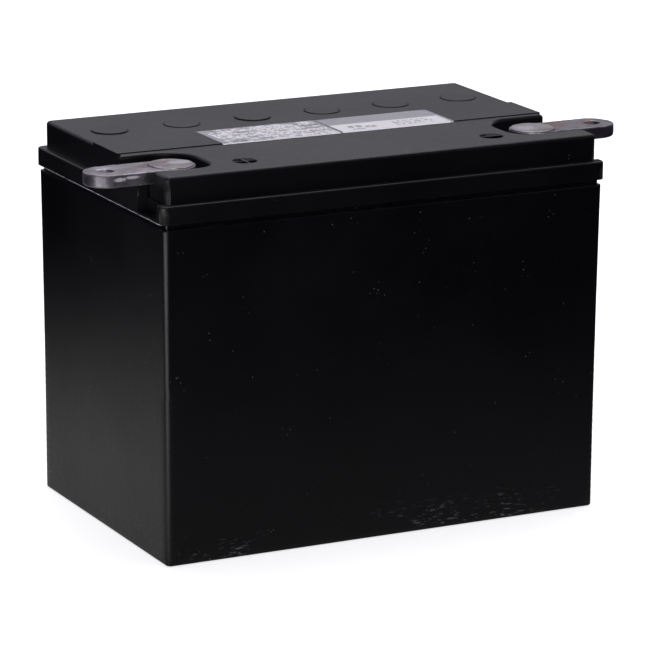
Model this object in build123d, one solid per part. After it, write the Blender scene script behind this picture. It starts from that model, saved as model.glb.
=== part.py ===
from build123d import *
import math
import os

# Sealed 12 V lead-acid motorcycle battery: six cells in a row along X, a black moulded case and lid,
# and two flat lead lugs that leave the lid sideways near its front edge.
# Millimetres. Origin: centre of the base face. +X to the negative lug, -Y to the front, +Z up.

# ---- case ----
case_base_length = 200.8
case_base_width = 128.5
case_top_length = 203.0
case_top_width = 129.2
case_corner_radius = 2.5
case_base_round = 0.9
shoulder_z = 141.3          # top of the outer case wall
neck_inset = 1.5            # the rim that takes the lid stands in from the outer wall
weld_z = 142.9              # plane where the lid is welded to the case
neck_overlap = 1.0          # height the rim shares with the wall below it
floor_thickness = 3.5
cell_corner_radius = 1.2
cell_half_span = 98.2       # inner face of the two end walls
cell_half_width = 61.2      # inner face of the front and back walls
partition_thickness = 1.8
cell_count = 6
cell_pitch = 33.3

# ---- lid ----
flange_length = 205.0
flange_width = 130.0
flange_bottom_z = 143.5
flange_top_z = 151.3
flange_corner_radius = 3.0
flange_edge_round = 0.9
lid_length = 198.6
lid_width = 124.2
lid_corner_radius = 2.0
lid_top_z = 162.7
lid_edge_round = 1.6
lid_top_thickness = 3.6
chamber_half_span = 95.4
chamber_half_width = 58.2
lid_rib_thickness = 2.2

# ---- raised strip for the labels ----
strip_rear_y = 11.1
strip_front_y = -13.9
strip_rise = 0.35
strip_root_depth = 2.0
strip_groove_width = 0.4
strip_groove_depth = 0.35

# ---- vents: one over each cell ----
vent_y = 30.6
cover_radius = 8.0
cover_thickness = 2.2
cover_edge_round = 0.25
cover_relief_radius = 6.6
cover_relief_depth = 0.5
cover_seat_radius = 8.2
cover_seat_depth = 2.5
cover_heights = (0.5, 0.0, 0.5, -0.25, -0.2, -0.3)    # how far each pressed-in cover stands proud
vent_wall = 2.0
valve_room_radius = 6.4
valve_room_floor_z = 152.1
valve_room_floor_thickness = 2.0
nozzle_outer_radius = 3.8
nozzle_bore_radius = 2.1
nozzle_height = 5.9
valve_outer_radius = 5.3
valve_clearance = 0.05
valve_top_thickness = 1.6
valve_skirt_height = 5.1
valve_edge_round = 0.4

# ---- terminal pockets and lugs ----
pocket_inner_x = 69.7       # inner end wall of each pocket
pocket_drift = -1.5         # both pockets stand this far along X from their nominal places
pocket_rear_y = -16.6
pocket_front_y = -50.1
pocket_rear_corner = 15.0
pocket_front_corner = 9.0
pocket_wall = 2.6
lug_thickness = 5.6
lug_y = -39.8
post_x = 84.0
lug_drift = -3.0            # both lugs stand this far along X from their nominal places
lug_head_radius = 10.0
lug_ear_radius = 9.4
post_to_hole = 29.0
bolt_hole_radius = 3.4
lug_edge_round = 0.5
lug_under_round = 1.2
bush_radius = 8.6
bush_length = 10.5
bush_ring_radius = 9.6
bush_ring_height = 1.6
bush_ring_gap = 1.8
bush_ring_drop = 2.2
bush_wall = 3.2
post_radius = 6.0
post_head_radius = 9.5
post_head_seat = 0.8
post_head_rise = 0.35
post_head_round = 0.3
support_rear_y = -19.0      # block on the end face that carries each lug
support_root = 2.0          # depth the block reaches into the lid
notch_rear_y = -41.0        # recess in the end face, in front of that block
notch_front_y = -59.6
notch_depth = 5.0
notch_web = 1.1             # skin left at the bottom of the flange
notch_edge_round = 1.0

# ---- polarity marks ----
mark_x = 57.3
mark_y = -46.8
mark_radius = 5.2
mark_depth = 0.6
mark_bar_width = 1.5

# ---- labels ----
label_thickness = 0.15
label_rear_y = 13.1
label_front_y = -16.0
label_ramp = 1.0
left_label_span = (-52.2, 2.9)
right_label_span = (3.3, 56.9)

# ---- plate packs ----
positive_plate_count = 4
positive_plate_thickness = 2.1
negative_plate_thickness = 1.6
separator_thickness = 1.65
plate_bottom_z = 6.0
plate_top_z = 116.0
plate_half_width = 59.2
plate_corner = 3.0
plate_frame_width = 2.5
paste_recess = 0.15
separator_top_z = 118.0
separator_half_width = 60.6
tab_width = 11.0
tab_y = -lug_y              # the end straps' posts stand under the lugs
strap_bottom_z = 121.0
strap_height = 5.5
strap_width = 15.0
strap_edge_round = 1.0
flag_thickness = 3.4
flag_width = 17.0
flag_top_z = 139.0
flag_corner = 5.6
weld_hole_radius = 5.4
weld_hole_z = 131.5

negative_plate_count = positive_plate_count + 1
pack_thickness = (positive_plate_count * (positive_plate_thickness + 2 * separator_thickness)
                  + negative_plate_count * negative_plate_thickness)
partition_xs = [(i - (cell_count - 2) / 2) * cell_pitch for i in range(cell_count - 1)]
vent_xs = [(i - (cell_count - 1) / 2) * cell_pitch for i in range(cell_count)]
pocket_floor_z = lid_top_z - lug_thickness
post_xs = {"positive": -post_x + lug_drift, "negative": post_x + lug_drift}
outward = {"positive": -1, "negative": 1}
clear = 1.0                 # how far a cutting shape reaches past the surface it cuts
hair = 0.01                 # tolerance for picking edges by position


def prism(length, width, radius, bottom, top, x=0.0, y=0.0):
    """Upright block with rounded vertical corners."""
    outline = RectangleRounded(length, width, radius)
    return Pos(x, y, bottom) * extrude(outline, top - bottom)


def block(x0, x1, y0, y1, z0, z1):
    """Plain block between two corners."""
    centre = Pos((x0 + x1) / 2, (y0 + y1) / 2, (z0 + z1) / 2)
    return centre * Box(x1 - x0, y1 - y0, z1 - z0)


def rod(radius, bottom, top, x=0.0, y=0.0):
    """Upright cylinder."""
    return Pos(x, y, (bottom + top) / 2) * Cylinder(radius, top - bottom)


def cell_limits(index):
    """Inner faces of a cell along X."""
    walls = [-cell_half_span]
    for x in partition_xs:
        walls += [x - partition_thickness / 2, x + partition_thickness / 2]
    walls.append(cell_half_span)
    return walls[2 * index], walls[2 * index + 1]


def front_polarity(index):
    """Polarity of the strap on the front side: the cells alternate so that they join in series."""
    return "positive" if index % 2 == 0 else "negative"


def weld_side(partition):
    """Side of the battery, in Y, where the two cells beside a partition are joined."""
    return tab_y if partition % 2 == 0 else -tab_y


def make_case():
    base = RectangleRounded(case_base_length, case_base_width, case_corner_radius)
    top = RectangleRounded(case_top_length, case_top_width, case_corner_radius)
    body = loft([base, Pos(0, 0, shoulder_z) * top])
    body = fillet(body.edges().group_by(Axis.Z)[0], case_base_round)
    body += prism(case_top_length - 2 * neck_inset, case_top_width - 2 * neck_inset,
                  case_corner_radius - neck_inset / 2, shoulder_z - neck_overlap, weld_z)
    for index in range(cell_count):
        x0, x1 = cell_limits(index)
        body -= prism(x1 - x0, 2 * cell_half_width, cell_corner_radius,
                      floor_thickness, weld_z + clear, (x0 + x1) / 2)
    for number, x in enumerate(partition_xs):
        hole = Rot(0, 90, 0) * Cylinder(weld_hole_radius, 2 * partition_thickness)
        body -= Pos(x, weld_side(number), weld_hole_z) * hole
    return body


def pocket_outline(side, skin=0.0):
    """Plan of a terminal pocket: two round inner corners, open at the lid's end face."""
    inner_x = side * (pocket_inner_x - skin) + pocket_drift
    outer_x = side * flange_length
    front_y = pocket_front_y - skin
    rear_y = pocket_rear_y + skin
    outline = Pos((inner_x + outer_x) / 2, (front_y + rear_y) / 2)
    outline *= Rectangle(abs(outer_x - inner_x), rear_y - front_y)
    inner_corners = outline.vertices().group_by(Axis.X)[0 if side > 0 else -1].sort_by(Axis.Y)
    outline = fillet(inner_corners[0], pocket_front_corner + skin)
    rear_corners = outline.vertices().filter_by_position(Axis.Y, rear_y - hair, rear_y + hair)
    inner_corners = rear_corners.sort_by(Axis.X)
    return fillet(inner_corners[0 if side > 0 else -1], pocket_rear_corner + skin)


def lid_outer():
    """Flange, upper body with both pockets and the weld rim, before hollowing."""
    upper = prism(lid_length, lid_width, lid_corner_radius, flange_top_z - clear, lid_top_z)
    for side in (-1, 1):
        upper -= Pos(0, 0, pocket_floor_z) * extrude(pocket_outline(side), lug_thickness + clear)
    top_edges = upper.edges().filter_by_position(Axis.Z, lid_top_z - hair, lid_top_z + hair)
    upper = fillet(top_edges, lid_edge_round)

    flange = prism(flange_length, flange_width, flange_corner_radius, flange_bottom_z, flange_top_z)
    flange = fillet(flange.edges().group_by(Axis.Z)[-1], flange_edge_round)
    rim = prism(case_top_length - 2 * neck_inset, case_top_width - 2 * neck_inset,
                case_corner_radius - neck_inset / 2, weld_z, flange_bottom_z + clear)
    return upper + flange + rim


def lug_support(side):
    """Block on the end face, under the lug."""
    inner = side * (lid_length / 2 - support_root)
    outer = side * flange_length / 2
    body = block(min(inner, outer), max(inner, outer), notch_rear_y, support_rear_y,
                 flange_top_z - support_root, pocket_floor_z)
    corners = body.edges().filter_by(Axis.Z).sort_by(Axis.X)
    outer_corners = corners[:2] if side < 0 else corners[-2:]
    return fillet(outer_corners, notch_edge_round)


def end_notch(side):
    """Recess in the end face, in front of the lug's support."""
    inner = side * (flange_length / 2 - notch_depth)
    outer = side * (flange_length / 2 + notch_depth)
    body = block(min(inner, outer), max(inner, outer), notch_front_y, notch_rear_y,
                 flange_bottom_z + notch_web, pocket_floor_z)
    corners = body.edges().filter_by(Axis.Z).sort_by(Axis.X)
    inner_corners = corners[-2:] if side < 0 else corners[:2]
    return fillet(inner_corners, notch_edge_round)


def label_strip():
    """Long raised strip between the vents and the pockets, with sharp ends."""
    strip = block(-lid_length / 2, lid_length / 2, strip_front_y, strip_rear_y,
                  lid_top_z - strip_root_depth, lid_top_z + strip_rise)
    groove = block(-lid_length, lid_length, strip_rear_y, strip_rear_y + strip_groove_width,
                   lid_top_z - strip_groove_depth, lid_top_z + clear)
    return strip, groove


def chamber(index):
    """Gas space of one cell inside the lid, around the valve well and the terminal pocket."""
    walls = [-chamber_half_span]
    for x in partition_xs:
        walls += [x - lid_rib_thickness / 2, x + lid_rib_thickness / 2]
    walls.append(chamber_half_span)
    x0, x1 = walls[2 * index], walls[2 * index + 1]
    ceiling = lid_top_z - lid_top_thickness
    space = prism(x1 - x0, 2 * chamber_half_width, cell_corner_radius,
                  weld_z - clear, ceiling, (x0 + x1) / 2)
    well_bottom = valve_room_floor_z - valve_room_floor_thickness
    space -= rod(valve_room_radius + vent_wall, well_bottom, ceiling + clear, vent_xs[index], vent_y)
    for side, end in ((-1, 0), (1, cell_count - 1)):
        if index == end:
            polarity = "positive" if side < 0 else "negative"
            skin = pocket_outline(side, pocket_wall)
            space -= Pos(0, 0, pocket_floor_z - pocket_wall) * extrude(skin, lug_thickness + pocket_wall)
            space -= rod(bush_ring_radius + bush_wall, pocket_floor_z - bush_length,
                         pocket_floor_z, post_xs[polarity], lug_y)
    return space


def bush_shape(x):
    """Outside of the lead bush that the lid is moulded around."""
    body = rod(bush_radius, pocket_floor_z - bush_length, pocket_floor_z, x, lug_y)
    for ring in range(2):
        top = pocket_floor_z - bush_ring_drop - ring * (bush_ring_height + bush_ring_gap)
        body += rod(bush_ring_radius, top - bush_ring_height, top, x, lug_y)
    return body


def polarity_recess(polarity):
    """Round sunk mark that leaves a raised plus or minus."""
    mark = Circle(mark_radius) - Rectangle(2 * mark_radius, mark_bar_width)
    if polarity == "positive":
        mark -= Rectangle(mark_bar_width, 2 * mark_radius)
    x = mark_x * outward[polarity]
    return Pos(x, mark_y, lid_top_z - mark_depth) * extrude(mark, mark_depth + clear)


def make_lid():
    body = lid_outer()
    for side in (-1, 1):
        body += lug_support(side)
        body -= end_notch(side)
    strip, groove = label_strip()
    body += strip
    body -= groove
    for index in range(cell_count):
        body -= chamber(index)
    for x in vent_xs:
        nozzle_top = valve_room_floor_z + nozzle_height
        body -= rod(cover_seat_radius, lid_top_z - cover_seat_depth, lid_top_z + clear, x, vent_y)
        room = rod(valve_room_radius, valve_room_floor_z, lid_top_z, x, vent_y)
        room -= rod(nozzle_outer_radius, valve_room_floor_z, nozzle_top, x, vent_y)
        body -= room
        body -= rod(nozzle_bore_radius, valve_room_floor_z - 2 * valve_room_floor_thickness,
                    nozzle_top + clear, x, vent_y)
    for polarity, x in post_xs.items():
        body -= bush_shape(x)
        body -= rod(post_radius, weld_z, pocket_floor_z, x, lug_y)
        body -= polarity_recess(polarity)
    return body


def make_vent_cover(index):
    """Thin round cover pressed into its seat over a relief valve."""
    top = lid_top_z + cover_heights[index]
    disc = rod(cover_radius, top - cover_thickness, top, vent_xs[index], vent_y)
    disc = fillet(disc.edges().group_by(Axis.Z)[-1], cover_edge_round)
    bottom = top - cover_thickness
    return disc - rod(cover_relief_radius, bottom - clear, bottom + cover_relief_depth,
                      vent_xs[index], vent_y)


def make_relief_valve(index):
    """Rubber cap that sits over the nozzle and lifts to let gas out."""
    seat_z = valve_room_floor_z + nozzle_height
    top = seat_z + valve_top_thickness
    cap = rod(valve_outer_radius, seat_z - valve_skirt_height, top, vent_xs[index], vent_y)
    cap = fillet(cap.edges().group_by(Axis.Z)[-1], valve_edge_round)
    inside = rod(nozzle_outer_radius + valve_clearance, seat_z - valve_skirt_height - clear, seat_z,
                 vent_xs[index], vent_y)
    return cap - inside


def make_lug(polarity):
    """Flat lead lug with the bolt hole at its tip and the moulded-in bush under its head."""
    x = post_xs[polarity]
    hole_x = x + outward[polarity] * post_to_hole
    ear = Pos((x + hole_x) / 2, lug_y) * Rectangle(post_to_hole, 2 * lug_ear_radius)
    ear += Pos(hole_x, lug_y) * Circle(lug_ear_radius)
    outline = ear + Pos(x, lug_y) * Circle(lug_head_radius)
    plate = Pos(0, 0, pocket_floor_z) * extrude(outline, lug_thickness)
    plate = fillet(plate.edges().group_by(Axis.Z)[-1], lug_edge_round)
    plate = fillet(plate.edges().group_by(Axis.Z)[0], lug_under_round)
    plate -= rod(bolt_hole_radius, pocket_floor_z - clear, lid_top_z + clear, hole_x, lug_y)
    plate += bush_shape(x)
    plate -= rod(post_radius, pocket_floor_z - bush_length - clear, lid_top_z + clear, x, lug_y)
    return plate - rod(post_head_radius, lid_top_z - post_head_seat, lid_top_z + clear, x, lug_y)


def make_label(span):
    """Thin label laid over the raised strip and down onto the lid on both sides of it."""
    low = lid_top_z
    high = lid_top_z + strip_rise
    under = [(label_front_y, low), (strip_front_y - label_ramp, low), (strip_front_y, high),
             (strip_rear_y, high), (strip_rear_y + label_ramp, low), (label_rear_y, low)]
    over = [(y, z + label_thickness) for y, z in reversed(under)]
    profile = make_face(Polyline(*under, *over, close=True))
    section = Plane.YZ * profile
    return Pos(span[0], 0, 0) * extrude(section, span[1] - span[0])


def plate_stack(index):
    """Start of every plate along X in a cell: (negative starts, positive starts)."""
    x0, x1 = cell_limits(index)
    start = (x0 + x1 - pack_thickness) / 2
    step = negative_plate_thickness + positive_plate_thickness + 2 * separator_thickness
    negatives = [start + step * i for i in range(negative_plate_count)]
    positives = [start + step * i + negative_plate_thickness + separator_thickness
                 for i in range(positive_plate_count)]
    return negatives, positives


def make_plate(x, thickness, side_y):
    """Pasted grid plate with its frame and its tab."""
    outline = Rectangle(2 * plate_half_width, plate_top_z - plate_bottom_z)
    outline = chamfer(outline.vertices().group_by(Axis.Y)[0], plate_corner)
    centre_z = (plate_top_z + plate_bottom_z) / 2
    body = Pos(x, 0, centre_z) * extrude(Plane.YZ * outline, thickness)
    window_y = plate_half_width - plate_frame_width
    for face_x in (x, x + thickness):
        body -= block(face_x - paste_recess, face_x + paste_recess, -window_y, window_y,
                      plate_bottom_z + plate_frame_width, plate_top_z - plate_frame_width)
    return body + block(x, x + thickness, side_y - tab_width / 2, side_y + tab_width / 2,
                        plate_top_z - plate_frame_width, strap_bottom_z)


def strap_side(index, polarity):
    """Y of a cell's strap of the given polarity."""
    return -tab_y if front_polarity(index) == polarity else tab_y


def make_plates(index, polarity):
    """All the plates of one polarity in a cell."""
    negatives, positives = plate_stack(index)
    starts = positives if polarity == "positive" else negatives
    thickness = positive_plate_thickness if polarity == "positive" else negative_plate_thickness
    side_y = strap_side(index, polarity)
    return Compound(children=[make_plate(x, thickness, side_y) for x in starts])


def make_separators(index):
    """Glass-mat separators, each folded round the bottom of a positive plate."""
    wraps = []
    for x in plate_stack(index)[1]:
        outer = block(x - separator_thickness, x + positive_plate_thickness + separator_thickness,
                      -separator_half_width, separator_half_width,
                      plate_bottom_z - separator_thickness, separator_top_z)
        outer = fillet(outer.edges().filter_by(Axis.Y).group_by(Axis.Z)[0], separator_thickness)
        slot = block(x, x + positive_plate_thickness,
                     -separator_half_width - clear, separator_half_width + clear,
                     plate_bottom_z, separator_top_z + clear)
        wraps.append(outer - slot)
    return Compound(children=wraps)


def make_strap(index, polarity):
    """Cast strap over the plate tabs, with its link through the partition or its terminal post."""
    x0, x1 = cell_limits(index)
    middle = (x0 + x1) / 2
    y = strap_side(index, polarity)
    half = pack_thickness / 2
    top = strap_bottom_z + strap_height
    bar = block(middle - half, middle + half, y - strap_width / 2, y + strap_width / 2, strap_bottom_z, top)
    bar = fillet(bar.edges().filter_by(Axis.Z), strap_edge_round)

    end_cell = 0 if polarity == "positive" else cell_count - 1
    if index == end_cell:
        x = post_xs[polarity]
        post = rod(post_radius, top - strap_edge_round, lid_top_z, x, y)
        post += rod(post_head_radius, lid_top_z - post_head_seat, lid_top_z + post_head_rise, x, y)
        post = fillet(post.edges().group_by(Axis.Z)[-1], post_head_round)
        return bar + post

    partition = index - 1 if polarity == "positive" else index
    wall_x = partition_xs[partition]
    toward = math.copysign(1, wall_x - middle)
    face_x = wall_x - toward * partition_thickness / 2
    back_x = face_x - toward * flag_thickness
    flag = block(min(face_x, back_x), max(face_x, back_x), y - flag_width / 2, y + flag_width / 2,
                 strap_bottom_z, flag_top_z)
    top_corners = flag.edges().filter_by(Axis.X).group_by(Axis.Z)[-1]
    flag = fillet(top_corners, flag_corner)
    link = Pos((face_x + wall_x) / 2, y, weld_hole_z) * Rot(0, 90, 0)
    link *= Cylinder(weld_hole_radius, abs(wall_x - face_x))
    return bar + flag + link


def strap_name(index, polarity):
    """The two end straps carry the terminal posts."""
    if index == 0 and polarity == "positive":
        return "positive_terminal_post"
    if index == cell_count - 1 and polarity == "negative":
        return "negative_terminal_post"
    return f"cell_{index + 1}_{polarity}_strap"


def make_parts():
    parts = {"case": make_case(), "lid": make_lid()}
    for polarity in ("positive", "negative"):
        parts[f"{polarity}_lug"] = make_lug(polarity)
    parts["label_left"] = make_label(left_label_span)
    parts["label_right"] = make_label(right_label_span)
    for index in range(cell_count):
        number = index + 1
        parts[f"vent_cover_{number}"] = make_vent_cover(index)
        parts[f"relief_valve_{number}"] = make_relief_valve(index)
        parts[f"cell_{number}_separators"] = make_separators(index)
        for polarity in ("positive", "negative"):
            parts[f"cell_{number}_{polarity}_plates"] = make_plates(index, polarity)
            parts[strap_name(index, polarity)] = make_strap(index, polarity)
    return parts


os.makedirs("parts", exist_ok=True)
for name, solid in make_parts().items():
    export_step(solid, f"parts/{name}.step")
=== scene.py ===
import math
import random

import bmesh
import bpy
import numpy as np
from mathutils import Matrix, Vector, noise


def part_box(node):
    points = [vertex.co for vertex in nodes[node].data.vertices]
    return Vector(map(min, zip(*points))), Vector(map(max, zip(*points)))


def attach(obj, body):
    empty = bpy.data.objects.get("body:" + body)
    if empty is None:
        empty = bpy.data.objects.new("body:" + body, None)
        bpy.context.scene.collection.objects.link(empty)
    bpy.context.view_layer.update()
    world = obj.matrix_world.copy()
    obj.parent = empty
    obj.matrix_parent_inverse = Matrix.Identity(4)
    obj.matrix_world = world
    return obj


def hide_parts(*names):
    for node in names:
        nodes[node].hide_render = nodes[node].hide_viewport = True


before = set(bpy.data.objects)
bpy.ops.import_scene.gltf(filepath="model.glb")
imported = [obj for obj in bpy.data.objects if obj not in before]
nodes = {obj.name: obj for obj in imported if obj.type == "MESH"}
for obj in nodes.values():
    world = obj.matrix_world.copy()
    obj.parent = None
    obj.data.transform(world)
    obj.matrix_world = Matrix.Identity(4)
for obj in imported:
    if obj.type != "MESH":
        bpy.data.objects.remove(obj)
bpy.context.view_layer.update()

MM = 0.001


# ---------------------------------------------------------------- node helpers
class Graph:
    """A material with short calls for the nodes it needs. Coordinates are the object's own, in metres."""

    def __init__(self, name):
        self.material = bpy.data.materials.new(name)
        self.material.use_nodes = True
        self.tree = self.material.node_tree
        self.tree.nodes.clear()
        self.output = self.add("ShaderNodeOutputMaterial")
        self.shader = self.add("ShaderNodeBsdfPrincipled")
        self.tree.links.new(self.shader.outputs[0], self.output.inputs["Surface"])
        self.place = self.add("ShaderNodeTexCoord").outputs["Object"]

    def add(self, kind, **values):
        node = self.tree.nodes.new(kind)
        for key, value in values.items():
            setattr(node, key, value)
        return node

    def feed(self, socket, value):
        if isinstance(value, bpy.types.NodeSocket):
            self.tree.links.new(value, socket)
        elif value is not None:
            socket.default_value = value

    def math(self, operation, a, b=None, c=None, clamp=False):
        node = self.add("ShaderNodeMath", operation=operation, use_clamp=clamp)
        for socket, value in zip(node.inputs, (a, b, c)):
            self.feed(socket, value)
        return node.outputs[0]

    def split(self, vector=None):
        node = self.add("ShaderNodeSeparateXYZ")
        self.feed(node.inputs[0], vector or self.place)
        return node.outputs[0], node.outputs[1], node.outputs[2]

    def join(self, x, y, z):
        node = self.add("ShaderNodeCombineXYZ")
        for socket, value in zip(node.inputs, (x, y, z)):
            self.feed(socket, value)
        return node.outputs[0]

    def stretch(self, scale, vector=None):
        node = self.add("ShaderNodeMapping")
        self.feed(node.inputs[0], vector or self.place)
        node.inputs["Scale"].default_value = scale
        return node.outputs[0]

    def noise(self, scale, detail=3.0, rough=0.55, vector=None, distortion=0.0):
        node = self.add("ShaderNodeTexNoise")
        self.feed(node.inputs["Vector"], vector or self.place)
        node.inputs["Scale"].default_value = scale
        node.inputs["Detail"].default_value = detail
        node.inputs["Roughness"].default_value = rough
        node.inputs["Distortion"].default_value = distortion
        return node.outputs["Fac"]

    def cells(self, scale, vector=None, feature="F1"):
        node = self.add("ShaderNodeTexVoronoi", feature=feature)
        self.feed(node.inputs["Vector"], vector or self.place)
        node.inputs["Scale"].default_value = scale
        return node.outputs["Distance"]

    def band(self, value, low, high, soft=0.0):
        """1 between low and high, 0 outside, with soft edges."""
        up = self.remap(value, low - soft, low + soft + 1e-9)
        down = self.remap(value, high + soft + 1e-9, high - soft)
        return self.math("MULTIPLY", up, down)

    def remap(self, value, low, high, to_low=0.0, to_high=1.0):
        node = self.add("ShaderNodeMapRange")
        node.clamp = True
        for socket, number in zip(node.inputs, (value, low, high, to_low, to_high)):
            self.feed(socket, number)
        return node.outputs[0]

    def mix(self, share, a, b):
        node = self.add("ShaderNodeMix", data_type="RGBA")
        self.feed(node.inputs[0], share)
        self.feed(node.inputs[6], a)
        self.feed(node.inputs[7], b)
        return node.outputs[2]

    def bump(self, height, distance, strength=1.0, normal=None):
        node = self.add("ShaderNodeBump")
        node.inputs["Strength"].default_value = strength
        node.inputs["Distance"].default_value = distance
        self.feed(node.inputs["Height"], height)
        self.feed(node.inputs["Normal"], normal)
        return node.outputs[0]

    def edges(self, radius):
        """1 along sharp outer and inner edges, from a rounded normal against the true one."""
        bevel = self.add("ShaderNodeBevel", samples=4)
        bevel.inputs["Radius"].default_value = radius
        meet = self.add("ShaderNodeVectorMath", operation="DOT_PRODUCT")
        self.feed(meet.inputs[0], bevel.outputs[0])
        self.feed(meet.inputs[1], self.add("ShaderNodeNewGeometry").outputs["True Normal"])
        return self.remap(meet.outputs["Value"], 0.96, 0.78)

    def finish(self, colour, roughness, normal=None, metallic=0.0, specular=0.5):
        inputs = self.shader.inputs
        self.feed(inputs["Base Color"], colour)
        self.feed(inputs["Roughness"], roughness)
        self.feed(inputs["Normal"], normal)
        inputs["Metallic"].default_value = metallic
        inputs["Specular IOR Level"].default_value = specular
        return self.material


def colour(r, g, b):
    return (r, g, b, 1.0)


# ---------------------------------------------------------------- materials
def black_plastic(name, base, rough, scuffs, specks, painted_flange_highlight=False):
    """Moulded black polypropylene: fine grain, slow tone changes, dust, scuffs and rubbed edges; optionally a painted
    highlight line along the lid flange's lower edge on the left end.
    """
    g = Graph(name)
    x, y, z = g.split()
    slow = g.noise(16, 4, 0.6)
    fine = g.noise(900, 3, 0.6)
    grain = g.noise(2600, 2, 0.5)
    tone = g.mix(g.remap(slow, 0.35, 0.65), colour(*[c * 0.75 for c in base]), colour(*[c * 1.3 for c in base]))

    dust_cells = g.cells(420)
    dust_pick = g.noise(90, 2, 0.5)
    dust = g.math("MULTIPLY", g.remap(dust_cells, 0.13, 0.05), g.remap(dust_pick, 0.60, 0.66))
    dust = g.math("MULTIPLY", dust, specks)

    streaks = g.noise(700, 5, 0.7, g.stretch((0.35, 0.35, 1.6)))
    patches = g.noise(38, 3, 0.6)
    low_down = g.remap(z, 16 * MM, 1 * MM)
    rub = g.math("MULTIPLY", g.remap(streaks, 0.56, 0.66), g.remap(patches, 0.50, 0.62))
    rub = g.math("MULTIPLY", rub, low_down)
    rub = g.math("MULTIPLY", rub, scuffs)

    wear = g.edges(0.5 * MM)
    wear = g.math("MULTIPLY", wear, g.remap(g.noise(160, 4, 0.7), 0.50, 0.64))
    wear = g.math("MULTIPLY", wear, 0.35 * scuffs)

    marks = g.math("MAXIMUM", g.math("MAXIMUM", dust, rub), wear, clamp=True)
    tone = g.mix(marks, tone, colour(0.34, 0.335, 0.34))
    # Painted highlight: a pale, broken line along the lower edge of the lid flange on the left end face, standing in
    # for light caught by that edge.
    if painted_flange_highlight:
        line = g.math("MULTIPLY", g.band(z, 143.42 * MM, 143.72 * MM, 0.06 * MM), g.remap(x, -102.1 * MM, -102.3 * MM))
        line = g.math("MULTIPLY", line, g.remap(g.noise(120, 4, 0.7), 0.34, 0.48))
        tone = g.mix(line, tone, colour(0.85, 0.83, 0.86))

    roughness = g.remap(g.math("ADD", g.math("MULTIPLY", slow, 0.6), g.math("MULTIPLY", fine, 0.4)),
                        0.35, 0.65, rough - 0.05, rough + 0.06)
    roughness = g.math("ADD", roughness, g.math("MULTIPLY", marks, 0.25), clamp=True)
    height = g.math("ADD", g.math("MULTIPLY", fine, 0.6), g.math("MULTIPLY", grain, 0.4))
    normal = g.bump(height, 0.00004, 0.55)
    normal = g.bump(g.noise(45, 2, 0.5), 0.0004, 0.25, normal)
    normal = g.bump(g.noise(230, 4, 0.65), 0.00012, 0.5, normal)
    return g.finish(tone, roughness, normal)


def lead(name, bright, dark, spots=(), warm=(), burn=(), stain=(), tint=(0.93, 0.91, 0.93)):
    """Cast lead alloy: dull grey oxide, brighter rubbed high points, casting pits, and warm stains by the burn."""
    g = Graph(name)
    slow = g.noise(110, 5, 0.6)
    fine = g.noise(900, 4, 0.65)
    flow = g.noise(260, 4, 0.6, g.stretch((0.5, 1.2, 1.0)), 1.2)
    base = g.mix(g.remap(slow, 0.38, 0.62), colour(*dark), colour(*bright))
    base = g.mix(g.math("MULTIPLY", g.remap(flow, 0.52, 0.70), 0.45), base, colour(0.30, 0.27, 0.29))
    pits = g.math("MULTIPLY", g.remap(g.cells(520), 0.22, 0.10), g.remap(g.noise(130), 0.52, 0.62))
    base = g.mix(g.math("MULTIPLY", pits, 0.7), base, colour(0.09, 0.085, 0.09))
    shine = g.remap(g.add("ShaderNodeNewGeometry").outputs["Pointiness"], 0.52, 0.60)
    shine = g.math("MULTIPLY", shine, g.remap(g.noise(240, 4, 0.7), 0.42, 0.58))
    for group, shade, strength in ((warm, colour(0.22, 0.14, 0.135), 0.8), (burn, colour(0.52, 0.51, 0.56), 0.8),
                                   (stain, colour(0.05, 0.05, 0.06), 0.85)):
        for spot in group:
            base = g.mix(g.math("MULTIPLY", blot(g, *spot), strength), base, shade)
    bare = None
    for spot in spots:
        bare = blot(g, *spot) if bare is None else g.math("MAXIMUM", bare, blot(g, *spot))
    base = g.mix(shine, base, colour(0.80, 0.78, 0.78))
    if bare is not None:
        base = g.mix(bare, base, colour(*tint))
    roughness = g.remap(fine, 0.3, 0.7, 0.40, 0.58)
    roughness = g.math("SUBTRACT", roughness, g.math("MULTIPLY", shine, 0.16))
    height = g.math("ADD", g.math("MULTIPLY", slow, 0.7), g.math("MULTIPLY", fine, 0.35))
    height = g.math("SUBTRACT", height, g.math("MULTIPLY", pits, 0.5))
    normal = g.bump(height, 0.00035, 0.55)
    material = g.finish(base, roughness, normal, metallic=0.85)
    if bare is not None:
        g.feed(g.shader.inputs["Metallic"], g.remap(bare, 0.0, 1.0, 0.85, 0.15))
    return material


def blot(g, centre, size, edge=0.5):
    """A ragged spot round a point."""
    x, y, z = g.split()
    total = None
    for value, middle, reach in zip((x, y, z), centre, size):
        part = g.math("DIVIDE", g.math("SUBTRACT", value, middle * MM), reach * MM)
        part = g.math("MULTIPLY", part, part)
        total = part if total is None else g.math("ADD", total, part)
    ragged = g.math("ADD", total, g.math("MULTIPLY", g.math("SUBTRACT", g.noise(700, 4, 0.7), 0.5), 2.6))
    return g.remap(ragged, 1.0 + edge, 1.0 - edge)


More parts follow.
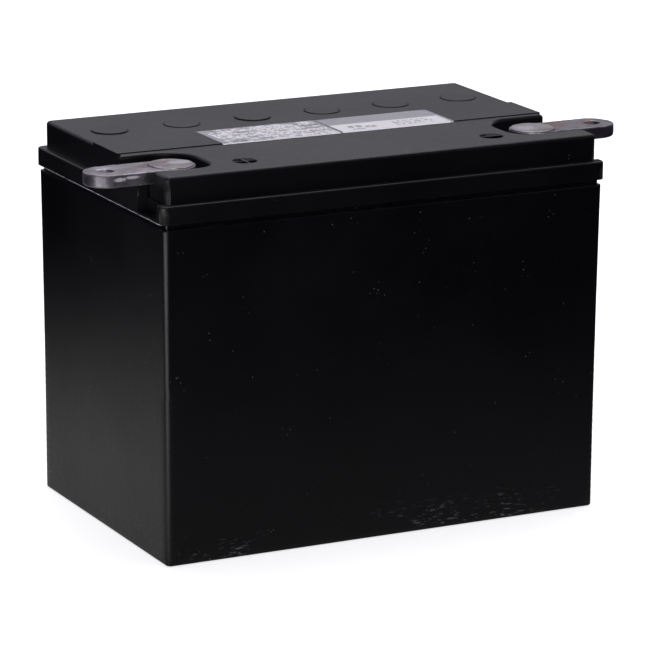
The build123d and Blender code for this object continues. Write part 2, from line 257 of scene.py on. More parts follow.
def plate_paste(name, base, other, grid):
    """Pasted plate: matt, porous, with the cast grid showing through the paste."""
    g = Graph(name)
    x, y, z = g.split()
    slow = g.noise(70, 5, 0.65)
    pores = g.noise(1400, 3, 0.7)
    tone = g.mix(g.remap(slow, 0.35, 0.65), colour(*base), colour(*other))
    wires = None
    for value, pitch in ((y, 7.4 * MM), (z, 5.2 * MM)):
        place = g.math("PINGPONG", value, pitch)
        line = g.remap(place, 0.5 * MM, 0.25 * MM)
        wires = line if wires is None else g.math("MAXIMUM", wires, line)
    wires = g.math("MULTIPLY", wires, g.remap(slow, 0.3, 0.7, 0.25, 0.8))
    tone = g.mix(wires, tone, colour(*grid))
    normal = g.bump(g.math("ADD", pores, g.math("MULTIPLY", wires, 0.8)), 0.0003, 0.7)
    return g.finish(tone, g.remap(pores, 0.3, 0.7, 0.78, 0.95), normal, specular=0.3)


def glass_mat():
    """Absorbent glass mat: white fibre felt, damp and greyer towards the bottom."""
    g = Graph("glass_mat")
    x, y, z = g.split()
    fibres = g.noise(1500, 5, 0.75, g.stretch((1, 0.35, 2.2)))
    cloud = g.noise(120, 4, 0.6)
    tone = g.mix(g.remap(fibres, 0.35, 0.7), colour(0.72, 0.72, 0.70), colour(0.90, 0.90, 0.88))
    damp = g.math("MULTIPLY", g.remap(z, 60 * MM, 6 * MM), g.remap(cloud, 0.3, 0.7, 0.25, 0.6))
    tone = g.mix(damp, tone, colour(0.56, 0.56, 0.53))
    return g.finish(tone, g.remap(fibres, 0.3, 0.7, 0.85, 0.98), g.bump(fibres, 0.0003, 0.8), specular=0.25)


def rubber():
    """Soft black rubber with a dusting of talc."""
    g = Graph("valve_rubber")
    talc = g.remap(g.noise(220, 5, 0.7), 0.52, 0.72)
    grain = g.noise(1800, 3, 0.6)
    tone = g.mix(g.math("MULTIPLY", talc, 0.3), colour(0.013, 0.013, 0.014), colour(0.16, 0.16, 0.155))
    return g.finish(tone, g.remap(grain, 0.3, 0.7, 0.55, 0.75), g.bump(grain, 0.00006, 0.6), specular=0.4)


def print_rows(g, across, along, pitch, share, dash, density, seed):
    """Rows of broken bars that stand for print without being any."""
    row = g.math("FLOOR", g.math("DIVIDE", along, pitch))
    inside = g.math("FRACT", g.math("DIVIDE", along, pitch))
    body = g.band(inside, 0.5 - share / 2, 0.5 + share / 2, 0.06)
    spot = g.join(g.math("DIVIDE", across, dash), g.math("MULTIPLY", row, 7.31), seed)
    picked = g.remap(g.noise(1.0, 1, 0.4, spot), density - 0.02, density + 0.02)
    return g.math("MULTIPLY", body, picked)


def label_film(name, left, right, rear, front, rich):
    """Printed film: silver margin, white panels and rows of unreadable grey bars."""
    g = Graph(name)
    x, y, z = g.split()
    across = g.math("SUBTRACT", x, left)
    along = g.math("SUBTRACT", y, front)
    length, depth = right - left, rear - front
    brushed = g.noise(900, 4, 0.6, g.stretch((0.15, 1.0, 1.0)))
    silver = g.mix(g.remap(brushed, 0.3, 0.7), colour(0.34, 0.335, 0.385), colour(0.47, 0.465, 0.51))
    white = colour(0.93, 0.90, 0.935)
    ink = colour(0.23, 0.22, 0.26)
    if rich:
        wedge = g.math("ADD", across, g.math("MULTIPLY", along, 0.05))
        panel = g.band(wedge, 3.4 * MM, length - 0.7 * MM, 0.15 * MM)
        panel = g.math("MULTIPLY", panel, g.band(along, 0.9 * MM, depth - 1.4 * MM, 0.15 * MM))
        blocks = g.noise(150, 2, 0.5, g.stretch((0.55, 1.0, 1.0)))
        fill = g.math("MULTIPLY", panel, g.remap(blocks, 0.40, 0.46))
        tone = g.mix(fill, silver, white)
        rows = print_rows(g, across, along, 2.3 * MM, 0.55, 1.5 * MM, 0.50, 3.0)
        bold = print_rows(g, across, along, 5.6 * MM, 0.42, 4.2 * MM, 0.55, 9.0)
        marks = g.math("MULTIPLY", g.math("MAXIMUM", rows, g.math("MULTIPLY", bold, 0.8)), panel)
        tone = g.mix(g.math("MULTIPLY", marks, 0.78), tone, ink)
        rim = g.band(along, 0.2 * MM, 1.5 * MM, 0.1 * MM)
        tone = g.mix(rim, tone, white)
    else:
        half = depth * 0.50
        panel = g.band(along, 0.3 * MM, half, 0.12 * MM)
        panel = g.math("MULTIPLY", panel, g.band(across, 0.5 * MM, length - 1.5 * MM, 0.1 * MM))
        tone = g.mix(panel, silver, white)
        stroke = g.band(along, depth - 2.2 * MM, depth - 1.8 * MM, 0.05 * MM)
        stroke = g.math("MULTIPLY", stroke, g.band(across, length - 20 * MM, length - 8 * MM, 0.1 * MM))
        tone = g.mix(g.math("MULTIPLY", stroke, 0.6), tone, white)
        fine = print_rows(g, across, along, 1.25 * MM, 0.50, 0.7 * MM, 0.56, 5.0)
        edge = g.math("MULTIPLY", g.band(along, half + 1 * MM, depth - 3.5 * MM, 0.2 * MM),
                      g.band(across, 2 * MM, length - 5 * MM, 0.2 * MM))
        tone = g.mix(g.math("MULTIPLY", g.math("MULTIPLY", fine, edge), 0.30), tone, ink)
        bars = print_rows(g, across, along, 3.4 * MM, 0.62, 1.3 * MM, 0.50, 8.0)
        zone = g.math("MULTIPLY", g.band(along, 3.2 * MM, half - 2.4 * MM, 0.1 * MM),
                      g.band(across, 28 * MM, length - 7 * MM, 0.1 * MM))
        tone = g.mix(g.math("MULTIPLY", g.math("MULTIPLY", bars, zone), 0.65), tone, ink)
        for start, end, low, high in ((6.5, 9.3, 6.4, 10.4), (10.2, 12.8, 6.4, 10.4), (14.0, 19.0, 5.0, 8.0),
                                      (6.5, 13.0, 3.2, 4.6)):
            spot = g.math("MULTIPLY", g.band(across, start * MM, end * MM, 0.1 * MM),
                          g.band(along, low * MM, high * MM, 0.1 * MM))
            hollow = g.cells(700)
            spot = g.math("MULTIPLY", spot, g.remap(hollow, 0.25, 0.45))
            tone = g.mix(g.math("MULTIPLY", spot, 0.8), tone, ink)
    scratch = g.remap(g.noise(1200, 4, 0.7, g.stretch((0.08, 1, 1))), 0.66, 0.72)
    tone = g.mix(g.math("MULTIPLY", scratch, 0.25), tone, colour(0.5, 0.48, 0.5))
    normal = g.bump(g.noise(300, 3, 0.6), 0.00008, 0.4)
    return g.finish(tone, g.remap(brushed, 0.3, 0.7, 0.42, 0.56), normal, specular=0.5)


case_black = black_plastic("case_plastic", (0.0038, 0.0032, 0.0055), 0.34, 1.0, 0.95)
# The lid material carries the painted highlight line along the lower left edge of its flange.
lid_black = black_plastic("lid_plastic", (0.0045, 0.0038, 0.0060), 0.40, 0.3, 0.7, painted_flange_highlight=True)
cover_black = black_plastic("cover_plastic", (0.0045, 0.0038, 0.0060), 0.42, 0.3, 0.4)


# ---------------------------------------------------------------- mesh helpers
def new_object(name, vertices, faces, material, smooth=True):
    mesh = bpy.data.meshes.new(name)
    mesh.from_pydata([tuple(v) for v in vertices], [], faces)
    mesh.validate()
    piece = bpy.data.objects.new(name, mesh)
    bpy.context.scene.collection.objects.link(piece)
    if smooth:
        mesh.shade_smooth()
    mesh.materials.append(material)
    return piece


def bake_modifiers(piece):
    """Applies the modifiers by taking the evaluated mesh."""
    bpy.context.view_layer.update()
    graph = bpy.context.evaluated_depsgraph_get()
    mesh = bpy.data.meshes.new_from_object(piece.evaluated_get(graph))
    piece.modifiers.clear()
    piece.data = mesh
    return piece


def rounded_ring(length, width, radius, step, corner_steps):
    """Points and outward directions round a rounded rectangle, anticlockwise from the front left."""
    points, normals = [], []
    half_x, half_y = length / 2 - radius, width / 2 - radius
    corners = ((-half_x, -half_y, 180), (half_x, -half_y, 270), (half_x, half_y, 0), (-half_x, half_y, 90))
    spans = (2 * half_x, 2 * half_y, 2 * half_x, 2 * half_y)
    for (cx, cy, start), span in zip(corners, spans):
        for k in range(corner_steps + 1):
            angle = math.radians(start + 90 * k / corner_steps)
            points.append((cx + radius * math.cos(angle), cy + radius * math.sin(angle)))
            normals.append((math.cos(angle), math.sin(angle)))
        along = math.radians(start + 180)
        direction = (-math.sin(math.radians(start + 90)), math.cos(math.radians(start + 90)))
        count = max(2, round(span / step))
        base = points[-1]
        for k in range(1, count):
            points.append((base[0] + direction[0] * span * k / count, base[1] + direction[1] * span * k / count))
            normals.append((math.cos(math.radians(start + 90)), math.sin(math.radians(start + 90))))
    return np.array(points), np.array(normals)


# ---------------------------------------------------------------- case
CASE_BASE = (200.8, 128.5)
CASE_TOP = (203.0, 129.2)
SHOULDER = 141.3
WELD = 142.9
PARTITIONS = [(i - 2) * 33.3 for i in range(5)]


def wall_inset(x, y, z, nx, ny):
    """How far the cooled wall has pulled in, in mm: a shallow dish on each face and a sink line at each partition."""
    rise = math.sin(math.pi * min(max(z / SHOULDER, 0), 1))
    across = math.cos(math.pi * x / 210) if abs(ny) > 0.7 else math.cos(math.pi * y / 135)
    pull = 0.22 * rise + 0.30 * rise * max(across, 0)
    if abs(ny) > 0.95:
        reach = min(max((z - 6) / 14, 0), 1) * min(max((SHOULDER - 4 - z) / 14, 0), 1)
        for place in PARTITIONS:
            pull += 0.075 * math.exp(-((x - place) / 2.2) ** 2) * reach
    ripple = noise.noise(Vector((x * 0.035, y * 0.035, z * 0.04)))
    return pull + 0.05 + 0.05 * ripple


def make_case():
    levels = []
    for k in range(5):
        angle = math.pi / 2 * k / 4
        levels.append((0.9 * (1 - math.sin(angle)), 0.9 * (1 - math.cos(angle))))
    levels = [(z, inset) for z, inset in levels]
    levels += [(z, 0.0) for z in np.linspace(2.2, SHOULDER - 1.0, 44)]
    levels = sorted((z, inset) for z, inset in levels)
    rings = []
    for z, inset in levels:
        rings.append((z, inset))
    rings += [(SHOULDER - 0.5, 0.0), (SHOULDER - 0.15, 0.12), (SHOULDER, 0.45), (SHOULDER, 1.5), (WELD, 1.5)]
    vertices, faces = [], []
    ring_size = None
    for index, (z, inset) in enumerate(rings):
        t = min(z / SHOULDER, 1)
        length = CASE_BASE[0] + (CASE_TOP[0] - CASE_BASE[0]) * t
        width = CASE_BASE[1] + (CASE_TOP[1] - CASE_BASE[1]) * t
        points, normals = rounded_ring(length, width, 2.5, 2.2, 8)
        ring_size = len(points)
        for (x, y), (nx, ny) in zip(points, normals):
            pull = inset + (wall_inset(x, y, z, nx, ny) if inset < 1 else 0)
            vertices.append(((x - nx * pull) * MM, (y - ny * pull) * MM, z * MM))
    for level in range(len(rings) - 1):
        for k in range(ring_size):
            a, b = level * ring_size + k, level * ring_size + (k + 1) % ring_size
            faces.append((a, b, b + ring_size, a + ring_size))
    faces.append(tuple(reversed(range(ring_size))))
    faces.append(tuple(range((len(rings) - 1) * ring_size, len(rings) * ring_size)))
    piece = new_object("case_shell", vertices, faces, case_black)

    cutter = bmesh.new()
    walls = [-98.2] + [x + side * 0.9 for x in PARTITIONS for side in (-1, 1)] + [98.2]
    for cell in range(6):
        x0, x1 = walls[2 * cell], walls[2 * cell + 1]
        box = Matrix.Translation(((x0 + x1) / 2 * MM, 0, (3.5 + 150) / 2 * MM))
        box = box @ Matrix.Diagonal(((x1 - x0) * MM, 122.4 * MM, 146.5 * MM, 1))
        bmesh.ops.create_cube(cutter, size=1, matrix=box)
    cells = mesh_object("cells", cutter)
    cutter = bmesh.new()
    for number, x in enumerate(PARTITIONS):
        side = 39.8 if number % 2 == 0 else -39.8
        place = Matrix.Translation((x * MM, side * MM, 131.5 * MM)) @ Matrix.Rotation(math.pi / 2, 4, "Y")
        bmesh.ops.create_cone(cutter, cap_ends=True, segments=48, radius1=5.4 * MM, radius2=5.4 * MM,
                              depth=3.6 * MM, matrix=place)
    holes = mesh_object("holes", cutter)
    for tool in (cells, holes):
        cut = piece.modifiers.new("cut", "BOOLEAN")
        cut.operation = "DIFFERENCE"
        cut.solver = "EXACT"
        cut.object = tool
    bake_modifiers(piece)
    for tool in (cells, holes):
        bpy.data.objects.remove(tool)
    keep_crisp(piece)
    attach(piece, "battery")
    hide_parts("case")
    return piece


def mesh_object(name, built):
    mesh = bpy.data.meshes.new(name)
    built.to_mesh(mesh)
    built.free()
    piece = bpy.data.objects.new(name, mesh)
    bpy.context.scene.collection.objects.link(piece)
    return piece


def keep_crisp(piece, degrees=32):
    """Smooth shading with hard edges only where two faces meet sharply."""
    piece.data.set_sharp_from_angle(angle=math.radians(degrees))
    for polygon in piece.data.polygons:
        polygon.use_smooth = True


FLAT_AREA = 4e-6


def even_normals(piece):
    """Large flat faces keep their own normal; only the small faces of a rounding blend."""
    built = bmesh.new()
    built.from_mesh(piece.data)
    bmesh.ops.dissolve_limit(built, angle_limit=math.radians(0.4), verts=built.verts, edges=built.edges,
                             delimit={"SHARP"})
    built.to_mesh(piece.data)
    built.free()
    even = piece.modifiers.new("even", "WEIGHTED_NORMAL")
    even.keep_sharp = True
    even.weight = 100
    bake_modifiers(piece)
    mesh = piece.data
    normals = [corner.vector.copy() for corner in mesh.corner_normals]
    for polygon in mesh.polygons:
        if polygon.area > FLAT_AREA:
            for loop in polygon.loop_indices:
                normals[loop] = polygon.normal.copy()
    mesh.normals_split_custom_set(normals)


# ---------------------------------------------------------------- cast lead pieces
def cast_copy(node, name, material, voxel, rough, top_from, seed):
    """A hand-cast version of a CAD node: same shape, with the uneven skin of poured and burned lead."""
    low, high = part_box(node)
    piece = bpy.data.objects.new(name, nodes[node].data.copy())
    bpy.context.scene.collection.objects.link(piece)
    remesh = piece.modifiers.new("remesh", "REMESH")
    remesh.mode = "VOXEL"
    remesh.voxel_size = voxel
    soften = piece.modifiers.new("soften", "SMOOTH")
    soften.factor = 0.5
    soften.iterations = 3
    bake_modifiers(piece)
    mesh = piece.data
    mesh.materials.clear()
    mesh.materials.append(material)
    co = np.zeros(len(mesh.vertices) * 3)
    mesh.vertices.foreach_get("co", co)
    co = co.reshape(-1, 3)
    no = np.array([v.normal[:] for v in mesh.vertices])
    shift = Vector((seed * 3.1, seed * 1.7, seed * 0.9))
    for i, (p, n) in enumerate(zip(co, no)):
        share = min(max((p[2] - top_from) / 0.001, 0), 1)
        if share <= 0:
            continue
        place = Vector(p)
        wave = noise.noise(place * 95 + shift)
        lump = noise.noise(place * 330 + shift)
        pit = noise.noise(place * 900 + shift)
        co[i] = p + n * rough * share * (0.9 * wave + 0.5 * lump + 0.22 * pit - 0.55)
    margin = 0.00002
    co = np.clip(co, np.array(low) + margin, np.array(high) - margin)
    mesh.vertices.foreach_set("co", co.ravel())
    mesh.update()
    mesh.shade_smooth()
    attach(piece, "battery")
    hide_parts(node)
    return piece


# ---------------------------------------------------------------- labels
LABEL_TILT = math.radians(0.35)


def make_label(node, name, rich):
    """Thin film laid over the raised strip, a touch out of square, with its corners rounded."""
    low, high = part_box(node)
    left, right = low.x, high.x
    front, rear = low.y, high.y
    base, rise = low.z, high.z - low.z
    material = label_film(name, left, right, rear, front, rich)
    thickness = 0.00012
    strip_front, strip_rear, ramp = -13.9 * MM, 11.1 * MM, 0.9 * MM
    lift = 0.35 * MM
    columns, rows = 56, 60
    centre = Vector(((left + right) / 2, (front + rear) / 2))
    inset = 0.00004
    vertices, faces = [], []

    def height(y):
        if y < strip_front:
            return base + lift * max(0, 1 - (strip_front - y) / ramp)
        if y > strip_rear:
            return base + lift * max(0, 1 - (y - strip_rear) / ramp)
        return base + lift

    for layer in (1, 0):
        for j in range(rows + 1):
            for i in range(columns + 1):
                u, v = i / columns, j / rows
                x = left + inset + (right - left - 2 * inset) * u
                y = front + inset + (rear - front - 2 * inset) * v
                corner = 0.0004
                dx, dy = min(x - left, right - x) - corner, min(y - front, rear - y) - corner
                if dx < 0 and dy < 0:
                    far = math.hypot(dx, dy)
                    if far > corner:
                        x += math.copysign((far - corner) * abs(dx) / far, centre.x - x)
                        y += math.copysign((far - corner) * abs(dy) / far, centre.y - y)
                shrink = 0.998
                qx, qy = (x - centre.x) * shrink, (y - centre.y) * shrink
                rx = centre.x + qx * math.cos(LABEL_TILT) - qy * math.sin(LABEL_TILT)
                ry = centre.y + qx * math.sin(LABEL_TILT) + qy * math.cos(LABEL_TILT)
                rx = min(max(rx, left), right)
                ry = min(max(ry, front), rear)
                wave = 0.00001 * (1 + noise.noise(Vector((rx * 160, ry * 160, 5.0))))
                vertices.append((rx, ry, height(ry) + wave + (thickness if layer else 0)))
    size = (rows + 1) * (columns + 1)
    for j in range(rows):
        for i in range(columns):
            a = j * (columns + 1) + i
            faces.append((a, a + 1, a + columns + 2, a + columns + 1))
            faces.append((a + size, a + size + columns + 1, a + size + columns + 2, a + size + 1))
    rim = [i for i in range(columns + 1)]
    rim += [j * (columns + 1) + columns for j in range(1, rows + 1)]
    rim += [rows * (columns + 1) + i for i in range(columns - 1, -1, -1)]
    rim += [j * (columns + 1) for j in range(rows - 1, 0, -1)]
    for k, a in enumerate(rim):
        b = rim[(k + 1) % len(rim)]
        faces.append((a, a + size, b + size, b))
    piece = new_object(name, vertices, faces, material)
    keep_crisp(piece, 50)
    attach(piece, "battery")
    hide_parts(node)
    return piece


# ---------------------------------------------------------------- lid and vent covers
MARKS = ((-57.3, -46.8, True), (57.3, -46.8, False))
MARK_RADIUS, MARK_DEPTH, MARK_BAR = 5.18, 1.1, 0.7


def mark_cutters(lid_top):
    """Sunk parts of the polarity marks: quarters round a plus, halves round a minus."""
    built = bmesh.new()
    for cx, cy, plus in MARKS:
        gap = MARK_BAR / 2
        sectors = 4 if plus else 2
        for k in range(sectors):
            start = k * 360 / sectors
            edge = math.degrees(math.asin(gap / MARK_RADIUS))
            first, last = start + edge, start + 360 / sectors - edge
            count = 18 if plus else 36
            outline = []
            for n in range(count + 1):
                angle = math.radians(first + (last - first) * n / count)
                outline.append((MARK_RADIUS * math.cos(angle), MARK_RADIUS * math.sin(angle)))
            if plus:
                turn = math.radians(start)
                outline.append((gap * (math.cos(turn) - math.sin(turn)), gap * (math.sin(turn) + math.cos(turn))))
            low_ring = [built.verts.new(((cx + x) * MM, (cy + y) * MM, lid_top - MARK_DEPTH * MM))
                        for x, y in outline]
            high_ring = [built.verts.new(((cx + x) * MM, (cy + y) * MM, lid_top + 0.3 * MM)) for x, y in outline]
            built.faces.new(list(reversed(low_ring)))
            built.faces.new(high_ring)
            for n in range(len(outline)):
                m = (n + 1) % len(outline)
                built.faces.new((low_ring[n], low_ring[m], high_ring[m], high_ring[n]))
    return mesh_object("mark_cutter", built)


def make_lid():
    """The lid with the thin bars that the moulded polarity marks have."""
    piece = bpy.data.objects.new("moulded_lid", nodes["lid"].data.copy())
    bpy.context.scene.collection.objects.link(piece)
    piece.data.materials.clear()
    piece.data.materials.append(lid_black)
    tool = mark_cutters(0.1627)
    cut = piece.modifiers.new("cut", "BOOLEAN")
    cut.operation = "DIFFERENCE"
    cut.solver = "EXACT"
    cut.object = tool
    bake_modifiers(piece)
    bpy.data.objects.remove(tool)
    keep_crisp(piece, 38)
    even_normals(piece)
    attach(piece, "battery")
    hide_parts("lid")
    return piece


COVER_SUNK = 0.06      # deepest place of a cover under the lid's face, so that its whole ring shows


def make_cover(number):
    """Round pressed-in cover with a soft rim and a faint dish."""
    node = f"vent_cover_{number}"
    low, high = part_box(node)
    cx, cy = (low.x + high.x) / 2, (low.y + high.y) / 2
    z0, z1 = low.z, max(high.z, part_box("lid")[1].z - COVER_SUNK * MM)
    profile = [(6.60, 0.50), (6.60, 0.0), (7.36, 0.0), (7.52, 0.18)]
    profile = [(r, z0 + h * MM) for r, h in profile]
    profile += [(7.52, z1 - 0.36 * MM), (7.49, z1 - 0.22 * MM), (7.41, z1 - 0.10 * MM), (7.29, z1 - 0.02 * MM),
                (7.14, z1), (6.8, z1 - 0.01 * MM), (6.3, z1 - 0.05 * MM), (4.5, z1 - 0.08 * MM),
                (2.2, z1 - 0.10 * MM), (0.8, z1 - 0.10 * MM)]
    segments = 96
    vertices, faces = [], []
    for r, z in profile:
        for k in range(segments):
            angle = 2 * math.pi * k / segments
            vertices.append((cx + r * MM * math.cos(angle), cy + r * MM * math.sin(angle), z))
    for level in range(len(profile) - 1):
        for k in range(segments):
            a, b = level * segments + k, level * segments + (k + 1) % segments
            faces.append((a, b, b + segments, a + segments))
    faces.append(tuple(reversed(range(segments))))
    faces.append(tuple(range((len(profile) - 1) * segments, len(profile) * segments)))
    piece = new_object(f"pressed_cover_{number}", vertices, faces, cover_black)
    keep_crisp(piece, 40)
    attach(piece, node)
    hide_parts(node)
    return piece


# ---------------------------------------------------------------- the object
make_case()
make_lid()
for number in range(1, 7):
    make_cover(number)
make_label("label_left", "printed_label_left", True)
make_label("label_right", "printed_label_right", False)

left_low, left_high = [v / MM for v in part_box("positive_lug")]
right_low, right_high = [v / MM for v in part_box("negative_lug")]
lug_top = left_high.z
lug_mid_y = (left_low.y + left_high.y) / 2
post_left, post_right = left_high.x - 10.0, right_low.x + 10.0

HOLE_LEFT, HOLE_RIGHT, HOLE_Y = -116.0, 110.0, -39.8
left_lead = lead("lug_lead_left", (0.40, 0.37, 0.41), (0.21, 0.19, 0.22),
                 spots=[((left_low.x + 12.0, left_low.y + 0.6, lug_top - 2.2), (2.8, 1.4, 0.8)),
                        ((left_low.x + 17.0, left_low.y + 0.6, lug_top - 1.7), (3.0, 1.4, 0.6)),
                        ((HOLE_LEFT - 0.6, HOLE_Y + 3.0, lug_top - 1.0), (2.4, 1.2, 1.5))],
                 stain=[((left_low.x + 26.0, left_low.y + 0.6, lug_top - 2.6), (3.6, 1.4, 2.6)),
                        ((left_low.x + 1.0, left_low.y + 7.0, lug_top - 3.0), (1.6, 5.0, 3.0))],
                 warm=[((post_left - 9.5, lug_mid_y + 1.0, lug_top), (5.5, 3.0, 3.0))])
right_lead = lead("lug_lead_right", (0.26, 0.24, 0.27), (0.14, 0.13, 0.15),
                  spots=[((HOLE_RIGHT, HOLE_Y + 3.0, lug_top - 1.2), (2.2, 1.2, 1.6))], tint=(0.62, 0.40, 0.32),
                  warm=[((post_right + 12.5, lug_mid_y + 2.0, lug_top), (4.5, 6.0, 3.0)),
                        ((right_high.x - 10.5, lug_mid_y + 3.2, lug_top - 2.5), (3.0, 1.6, 3.0))])
post_left_lead = lead("post_lead_left", (0.40, 0.36, 0.385), (0.21, 0.185, 0.20),
                      warm=[((post_left - 2.0, lug_mid_y + 4.0, lug_top), (3.4, 1.8, 3.0))],
                      burn=[((post_left + 4.0, lug_mid_y + 1.0, lug_top), (5.0, 3.0, 3.0))])
post_right_lead = lead("post_lead_right", (0.38, 0.355, 0.38), (0.24, 0.22, 0.24),
                       warm=[((post_right + 3.0, lug_mid_y - 6.6, lug_top), (6.5, 1.3, 3.0))],
                       burn=[((post_right - 3.0, lug_mid_y + 0.5, lug_top), (4.6, 4.0, 3.0))])
floor_of_pocket = (lug_top - 5.6) * MM
cast_copy("positive_lug", "cast_lug_left", left_lead, 0.0004, 0.00016, floor_of_pocket, 1)
cast_copy("negative_lug", "cast_lug_right", right_lead, 0.0004, 0.00016, floor_of_pocket, 2)
cast_copy("positive_terminal_post", "burned_post_left", post_left_lead, 0.0005, 0.00018,
          floor_of_pocket, 3)
cast_copy("negative_terminal_post", "burned_post_right", post_right_lead, 0.0005, 0.00018,
          floor_of_pocket, 4)

strap_lead = lead("strap_lead", (0.46, 0.45, 0.47), (0.30, 0.29, 0.31))
positive_paste = plate_paste("positive_plate", (0.060, 0.030, 0.022), (0.11, 0.060, 0.042), (0.16, 0.15, 0.15))
negative_paste = plate_paste("negative_plate", (0.21, 0.215, 0.23), (0.31, 0.32, 0.335), (0.40, 0.40, 0.41))
mat_white = glass_mat()
valve_black = rubber()


def dress(name, material):
    mesh = nodes[name].data
    mesh.materials.clear()
    mesh.materials.append(material)


for name in nodes:
    if name.startswith("relief_valve"):
        dress(name, valve_black)
    elif name.endswith("_strap"):
        dress(name, strap_lead)
    elif name.endswith("positive_plates"):
        dress(name, positive_paste)
    elif name.endswith("negative_plates"):
        dress(name, negative_paste)
    elif name.endswith("separators"):
        dress(name, mat_white)


# ---------------------------------------------------------------- camera
YAW, PITCH, ROLL = math.radians(-26.7634), math.radians(14.6008), math.radians(0.3509)
DISTANCE, SHIFT_RIGHT, SHIFT_UP = 1.74049, 0.002953, -0.006111
AIM = Vector((0, 0, 0.0825))
FOCAL_PIXELS, FRAME_PIXELS, SENSOR = 4067.07, 650, 36.0

back = Vector((math.sin(YAW) * math.cos(PITCH), -math.cos(YAW) * math.cos(PITCH), math.sin(PITCH)))
right = Vector((math.cos(YAW), math.sin(YAW), 0))
up = back.cross(right)
turned_right = right * math.cos(ROLL) + up * math.sin(ROLL)
turned_up = up * math.cos(ROLL) - right * math.sin(ROLL)
camera_data = bpy.data.cameras.new("camera")
camera_data.sensor_width = SENSOR
camera_data.lens = FOCAL_PIXELS * SENSOR / FRAME_PIXELS
camera_data.clip_start, camera_data.clip_end = 0.05, 50
camera = bpy.data.objects.new("camera", camera_data)
camera.matrix_world = Matrix.Translation(
    AIM + back * DISTANCE + turned_right * SHIFT_RIGHT + turned_up * SHIFT_UP
) @ Matrix((turned_right, turned_up, back)).transposed().to_4x4()
bpy.context.scene.collection.objects.link(camera)
bpy.context.scene.camera = camera


# ---------------------------------------------------------------- stage and light
LEFT_GLOW, FRONT_GLOW, CORNER_GLOW, FRONT_SHARE = 0.46, 0.21, 3.2, 0.68


def stage_floor():
    """Pale floor. Reflections see it bright only near the object, as on a small white table."""
    mesh = bpy.data.meshes.new("floor")
    reach = 12.0
    mesh.from_pydata([(-reach, -reach, -0.0002), (reach, -reach, -0.0002), (reach, reach, -0.0002),
                      (-reach, reach, -0.0002)], [], [(0, 1, 2, 3)])
    floor = bpy.data.objects.new("floor", mesh)
    bpy.context.scene.collection.objects.link(floor)
    g = Graph("floor_paper")
    tree = g.tree
    path = g.add("ShaderNodeLightPath")
    seen = g.add("ShaderNodeEmission")
    seen.inputs["Color"].default_value = colour(1, 1, 1)
    paper = g.add("ShaderNodeBsdfDiffuse")
    paper.inputs["Color"].default_value = colour(0.9, 0.9, 0.9)
    both = g.add("ShaderNodeAddShader")
    tree.links.new(seen.outputs[0], both.inputs[0])
    tree.links.new(paper.outputs[0], both.inputs[1])
    x, y, z = g.split()
    far = g.math("SQRT", g.math("ADD", g.math("MULTIPLY", x, x), g.math("MULTIPLY", y, y)))
    beside = g.remap(x, -0.09, -0.13, FRONT_GLOW, LEFT_GLOW)
    behind = g.remap(y, -0.075, -0.045, FRONT_GLOW, LEFT_GLOW)
    near = g.math("MULTIPLY", g.remap(far, 0.18, 0.41, 1.0, 0.0), g.math("MAXIMUM", beside, behind))
    near = g.math("MULTIPLY", near, g.remap(y, -0.04, 0.30, FRONT_SHARE, 1.1))
    corner_x, corner_y = g.math("ADD", x, 0.10), g.math("ADD", y, 0.064)
    outward = g.math("ADD", g.math("MULTIPLY", corner_x, -0.893), g.math("MULTIPLY", corner_y, -0.45))
    reach = g.math("SQRT", g.math("ADD", g.math("MULTIPLY", corner_x, corner_x),
                                  g.math("MULTIPLY", corner_y, corner_y)))
    sector = g.remap(g.math("DIVIDE", outward, reach), 0.72, 0.99)
    corner = g.math("MULTIPLY", g.remap(outward, 0.02, 0.50, 0.30, CORNER_GLOW), sector)
    corner = g.math("MULTIPLY", corner, g.remap(reach, 1.3, 0.8))
    g.feed(seen.inputs["Strength"], g.remap(far, 0.5, 2.0, 0.72, 1.0))
    table = g.add("ShaderNodeEmission")
    g.feed(table.inputs["Strength"], g.math("ADD", near, corner))
    choose = g.add("ShaderNodeMixShader")
    tree.links.new(path.outputs["Is Camera Ray"], choose.inputs[0])
    tree.links.new(table.outputs[0], choose.inputs[1])
    tree.links.new(both.outputs[0], choose.inputs[2])
    tree.links.new(choose.outputs[0], g.output.inputs["Surface"])
    mesh.materials.append(g.material)
    return floor


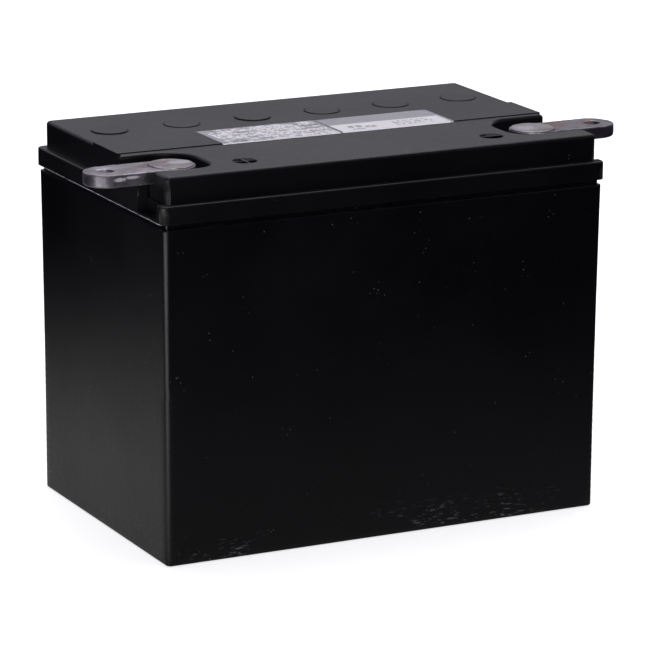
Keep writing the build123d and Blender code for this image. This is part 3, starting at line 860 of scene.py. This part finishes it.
def softbox(name, place, target, width, height, strength, tint=(1, 1, 1)):
    """Large soft area light of a given radiance, unseen by the camera."""
    data = bpy.data.lights.new(name, "AREA")
    data.shape = "RECTANGLE"
    data.size, data.size_y = width, height
    data.energy = strength * math.pi * width * height
    data.color = tint
    light = bpy.data.objects.new(name, data)
    bpy.context.scene.collection.objects.link(light)
    light.location = place
    light.rotation_mode = "QUATERNION"
    light.rotation_quaternion = (Vector(target) - Vector(place)).to_track_quat("-Z", "Y")
    light.visible_camera = False
    return light


def world_light():
    world = bpy.data.worlds.new("studio")
    bpy.context.scene.world = world
    world.use_nodes = True
    tree = world.node_tree
    tree.nodes.clear()
    path = tree.nodes.new("ShaderNodeLightPath")
    white = tree.nodes.new("ShaderNodeBackground")
    white.inputs["Color"].default_value = colour(1, 1, 1)
    dim = tree.nodes.new("ShaderNodeBackground")
    dim.inputs["Color"].default_value = colour(0.36, 0.28, 1.0)
    dim.inputs["Strength"].default_value = 0.055
    mix = tree.nodes.new("ShaderNodeMixShader")
    out = tree.nodes.new("ShaderNodeOutputWorld")
    tree.links.new(path.outputs["Is Camera Ray"], mix.inputs[0])
    tree.links.new(dim.outputs[0], mix.inputs[1])
    tree.links.new(white.outputs[0], mix.inputs[2])
    tree.links.new(mix.outputs[0], out.inputs["Surface"])


stage_floor()
world_light()
softbox("rear_box", (0.50, 1.55, 0.76), (0, 0, 0.15), 3.0, 0.95, 0.40)
softbox("canopy", (0.45, 1.15, 1.30), (0, 0, 0.15), 2.0, 0.6, 0.9)
softbox("right_box", (1.60, 0.70, 0.62), (0, 0, 0.15), 1.3, 0.8, 0.40)
softbox("rear_left_box", (-1.35, 1.05, 0.90), (0, 0, 0.15), 1.3, 0.8, 0.32)
softbox("front_right_box", (1.35, -1.10, 0.62), (0, 0, 0.15), 1.2, 0.7, 0.28)
softbox("top_box", (0.1, 0.15, 1.45), (0, 0, 0.15), 1.3, 1.3, 2.35)
softbox("front_box", (-0.9, -2.2, 1.2), (0, 0, 0.1), 1.2, 1.2, 1.2)

scene = bpy.context.scene
scene.view_settings.view_transform = "Standard"
scene.view_settings.look = "None"
